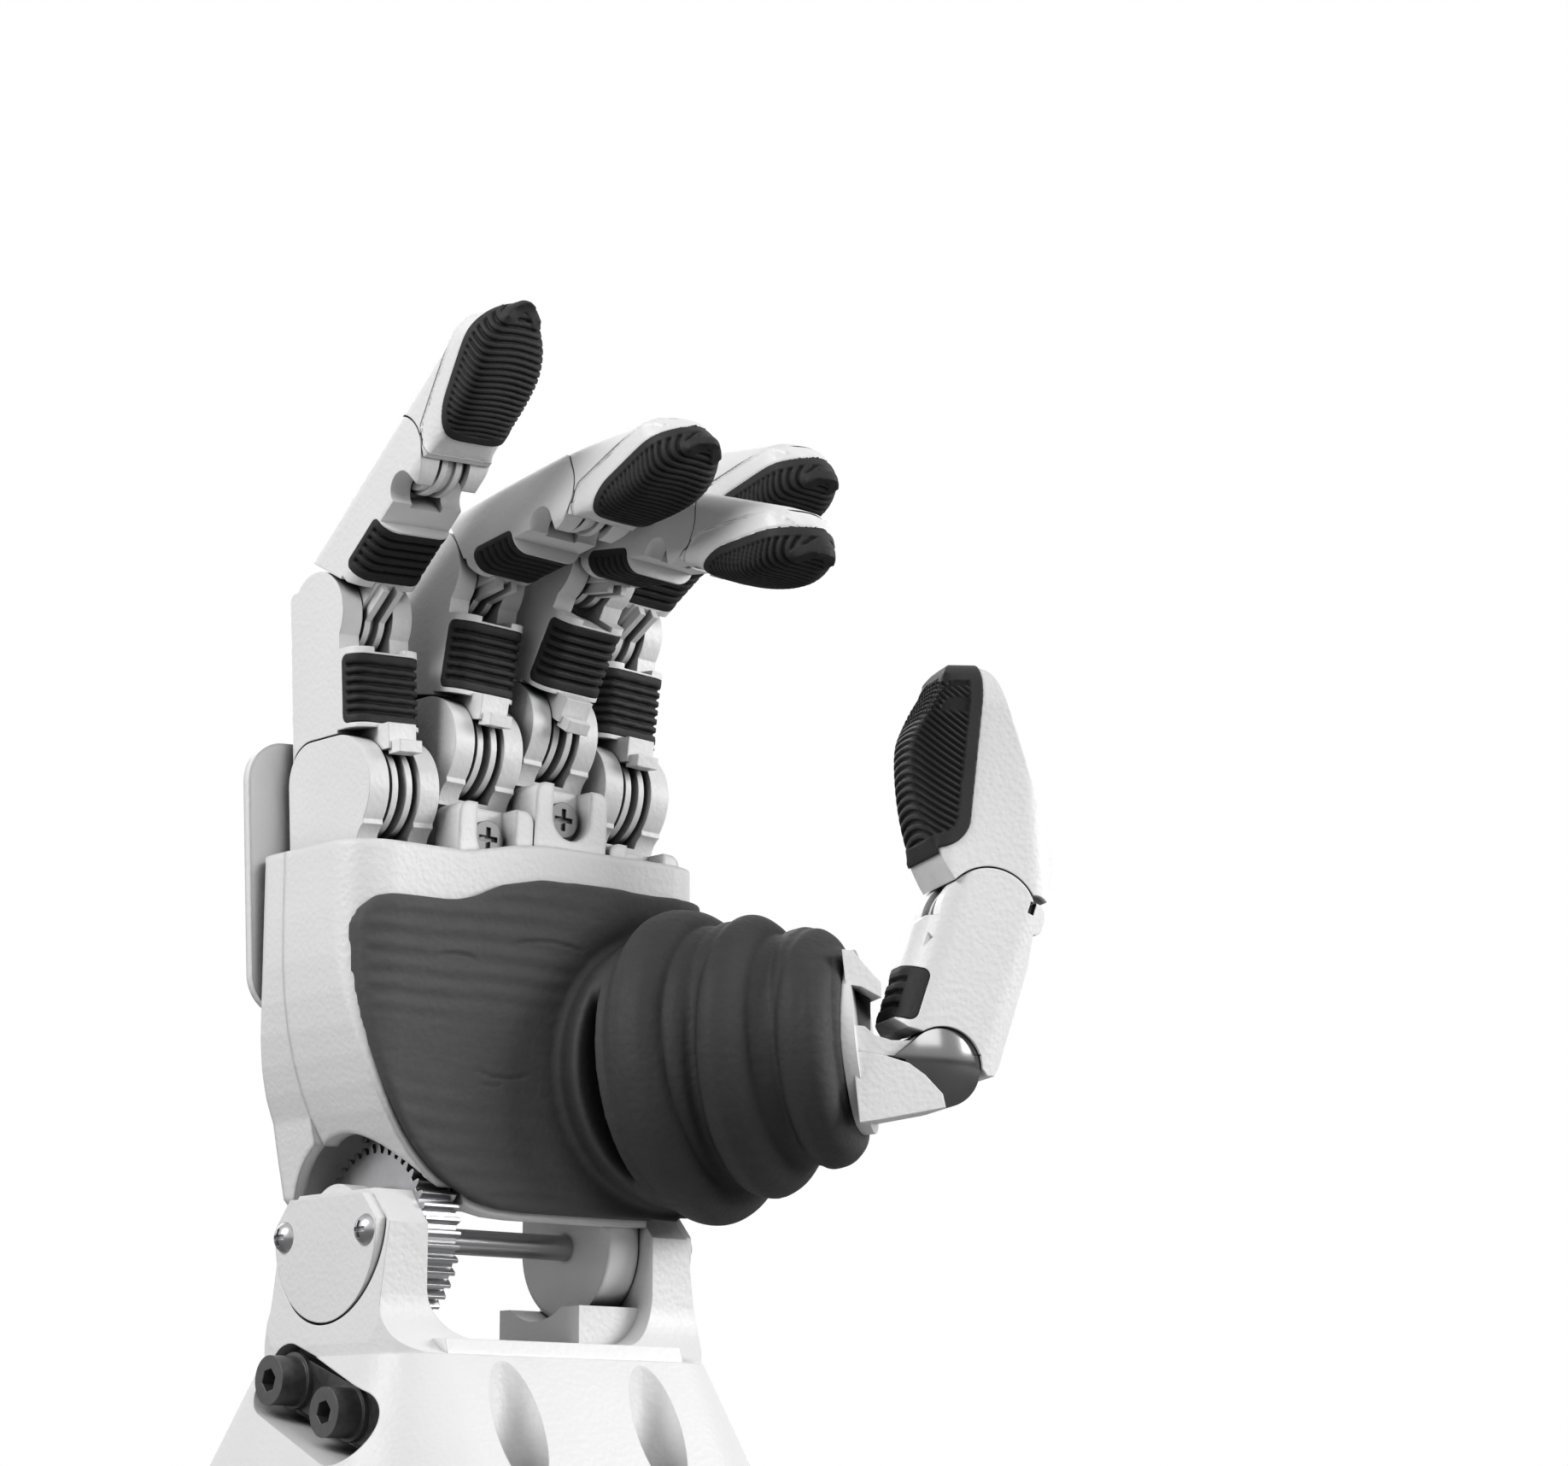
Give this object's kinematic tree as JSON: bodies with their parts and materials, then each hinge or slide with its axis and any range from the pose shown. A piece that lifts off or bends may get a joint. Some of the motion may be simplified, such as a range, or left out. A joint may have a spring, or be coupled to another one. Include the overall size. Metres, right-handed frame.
{
  "type": "robot hand",
  "caption": "Five-finger robot hand, right, on a forked wrist base, with ribbed rubber pads, a bellows at the thumb and tendon pulleys in the finger joints.",
  "frame": {"origin": "centre of the base's bolting face", "axes": "+Z from the wrist towards the fingertips, +X to the thumb side, -Y out of the palm"},
  "size_m": [0.1372, 0.1328, 0.2306],
  "materials": {
    "white_shell": "satin, fine leather grain",
    "pad_rubber": "matt, ribbed",
    "skin_rubber": "matt, fine grain",
    "bare_steel": "satin",
    "black_steel": "black oxide",
    "gloss_black": "gloss"
  },
  "bodies": {
    "forearm": {"forearm_fork": "white_shell", "bearing_covers": "white_shell", "cover_screws": "bare_steel", "adjuster_bolts": "black_steel", "adjuster_rail": "black_steel", "wrist_gear": "bare_steel"},
    "palm": {"palm_frame": "white_shell", "dorsal_cover": "white_shell", "palm_skin": "skin_rubber", "wrist_shaft": "bare_steel", "wrist_motor": "black_steel", "abduction_pins": "bare_steel", "thumb_bellows": "skin_rubber"},
    "pinion": {"wrist_pinion": "bare_steel"},
    "little_knuckle": {"little_knuckle": "white_shell", "little_axle": "bare_steel"},
    "little_proximal": {"little_proximal": "white_shell", "little_proximal_pad": "pad_rubber"},
    "little_middle": {"little_middle": "white_shell", "little_middle_pins": "bare_steel", "little_middle_pad": "pad_rubber"},
    "little_distal": {"little_distal": "white_shell", "little_tip_pad": "pad_rubber"},
    "ring_knuckle": {"ring_knuckle": "white_shell", "ring_axle": "bare_steel"},
    "ring_proximal": {"ring_proximal": "white_shell", "ring_proximal_pad": "pad_rubber"},
    "ring_middle": {"ring_middle": "white_shell", "ring_middle_pins": "bare_steel", "ring_middle_pad": "pad_rubber"},
    "ring_distal": {"ring_distal": "white_shell", "ring_tip_pad": "pad_rubber"},
    "middle_knuckle": {"middle_knuckle": "white_shell", "middle_axle": "bare_steel"},
    "middle_proximal": {"middle_proximal": "white_shell", "middle_proximal_pad": "pad_rubber"},
    "middle_middle": {"middle_middle": "white_shell", "middle_middle_pins": "bare_steel", "middle_middle_pad": "pad_rubber"},
    "middle_distal": {"middle_distal": "white_shell", "middle_tip_pad": "pad_rubber"},
    "index_knuckle": {"index_knuckle": "white_shell", "index_axle": "bare_steel"},
    "index_proximal": {"index_proximal": "white_shell", "index_proximal_pad": "pad_rubber"},
    "index_middle": {"index_middle": "white_shell", "index_middle_pins": "bare_steel", "index_middle_pad": "pad_rubber"},
    "index_distal": {"index_distal": "white_shell", "index_tip_pad": "pad_rubber"},
    "thumb_yoke": {"thumb_yoke": "bare_steel"},
    "thumb_metacarpal": {"thumb_metacarpal": "white_shell", "thumb_joint_cap": "gloss_black"},
    "thumb_proximal": {"thumb_proximal": "white_shell", "thumb_proximal_pad": "pad_rubber", "thumb_end_pin": "bare_steel"},
    "thumb_distal": {"thumb_distal": "white_shell", "thumb_tip_pad": "pad_rubber"}
  },
  "joints": [
    {"name": "wrist_pitch", "type": "hinge", "parent": "forearm", "child": "palm", "pos_m": [0, 0, 0.058], "axis": [1, 0, 0], "range_deg": [-30, 30]},
    {"name": "pinion_spin", "type": "hinge", "parent": "palm", "child": "pinion", "pos_m": [0, 0, 0.0804], "axis": [1, 0, 0], "range_deg": [-90, 90]},
    {"name": "little_spread", "type": "hinge", "parent": "palm", "child": "little_knuckle", "pos_m": [-0.02825, 0, 0.1255], "axis": [0, 1, 0], "range_deg": [-12, 3]},
    {"name": "little_mcp", "type": "hinge", "parent": "little_knuckle", "child": "little_proximal", "pos_m": [-0.02922, 0, 0.14397], "axis": [0.9986, 0, 0.0523], "range_deg": [0, 75]},
    {"name": "little_pip", "type": "hinge", "parent": "little_proximal", "child": "little_middle", "pos_m": [-0.03106, 0.0061, 0.17913], "axis": [0.9986, 0, 0.0523], "range_deg": [-54, 31]},
    {"name": "little_dip", "type": "hinge", "parent": "little_middle", "child": "little_distal", "pos_m": [-0.03244, -0.02198, 0.20543], "axis": [0.9986, 0, 0.0523], "range_deg": [0, 45]},
    {"name": "ring_spread", "type": "hinge", "parent": "palm", "child": "ring_knuckle", "pos_m": [-0.00975, 0, 0.1355], "axis": [0, 1, 0], "range_deg": [-3, 1.2]},
    {"name": "ring_mcp", "type": "hinge", "parent": "ring_knuckle", "child": "ring_proximal", "pos_m": [-0.0091, 0, 0.15399], "axis": [0.9994, 0, -0.0349], "range_deg": [-10, 60]},
    {"name": "ring_pip", "type": "hinge", "parent": "ring_proximal", "child": "ring_middle", "pos_m": [-0.00786, -0.00011, 0.18969], "axis": [0.9994, 0, -0.0349], "range_deg": [-73, 12]},
    {"name": "ring_dip", "type": "hinge", "parent": "ring_middle", "child": "ring_distal", "pos_m": [-0.00753, -0.03744, 0.19911], "axis": [0.9994, 0, -0.0349], "range_deg": [-4, 41]},
    {"name": "middle_spread", "type": "hinge", "parent": "palm", "child": "middle_knuckle", "pos_m": [0.00875, 0, 0.1415], "axis": [0, 1, 0], "range_deg": [-1.2, 0.6]},
    {"name": "middle_mcp", "type": "hinge", "parent": "middle_knuckle", "child": "middle_proximal", "pos_m": [0.00972, 0, 0.15998], "axis": [0.9986, 0, -0.0523], "range_deg": [-30, 30]},
    {"name": "middle_pip", "type": "hinge", "parent": "middle_proximal", "child": "middle_middle", "pos_m": [0.01147, -0.01232, 0.19346], "axis": [0.9986, 0, -0.0523], "range_deg": [-68, 7]},
    {"name": "middle_dip", "type": "hinge", "parent": "middle_middle", "child": "middle_distal", "pos_m": [0.01144, -0.05081, 0.1929], "axis": [0.9986, 0, -0.0523], "range_deg": [-10, 35]},
    {"name": "index_spread", "type": "hinge", "parent": "palm", "child": "index_knuckle", "pos_m": [0.02725, 0, 0.1312], "axis": [0, 1, 0], "range_deg": [-0.6, 12]},
    {"name": "index_mcp", "type": "hinge", "parent": "index_knuckle", "child": "index_proximal", "pos_m": [0.02822, 0, 0.14968], "axis": [0.9986, 0, -0.0523], "range_deg": [-5, 50]},
    {"name": "index_pip", "type": "hinge", "parent": "index_proximal", "child": "index_middle", "pos_m": [0.03008, 0.00301, 0.18522], "axis": [0.9986, 0, -0.0523], "range_deg": [-55, 15]},
    {"name": "index_dip", "type": "hinge", "parent": "index_middle", "child": "index_distal", "pos_m": [0.0313, -0.02767, 0.20845], "axis": [0.9986, 0, -0.0523], "range_deg": [-37, 8]},
    {"name": "thumb_swing", "type": "hinge", "parent": "palm", "child": "thumb_yoke", "pos_m": [0.0314, -0.0246, 0.093], "axis": [0, 0, 1], "range_deg": [-12, 16], "deforming": ["thumb_bellows"]},
    {"name": "thumb_lift", "type": "hinge", "parent": "thumb_yoke", "child": "thumb_metacarpal", "pos_m": [0.03709, -0.03739, 0.093], "axis": [0.9135, 0.4067, 0], "range_deg": [-8, 8], "deforming": ["thumb_bellows"]},
    {"name": "thumb_mcp", "type": "hinge", "parent": "thumb_metacarpal", "child": "thumb_proximal", "pos_m": [0.0571, -0.0651, 0.09], "axis": [0.4067, 0.9135, 0], "range_deg": [-4, 25]},
    {"name": "thumb_ip", "type": "hinge", "parent": "thumb_proximal", "child": "thumb_distal", "pos_m": [0.06609, -0.0691, 0.1194], "axis": [0.4067, 0.9135, 0], "range_deg": [-35, 5]}
  ],
  "couplings": [
    {"joint": "pinion_spin", "follows": "wrist_pitch", "ratio": 3}
  ]
}
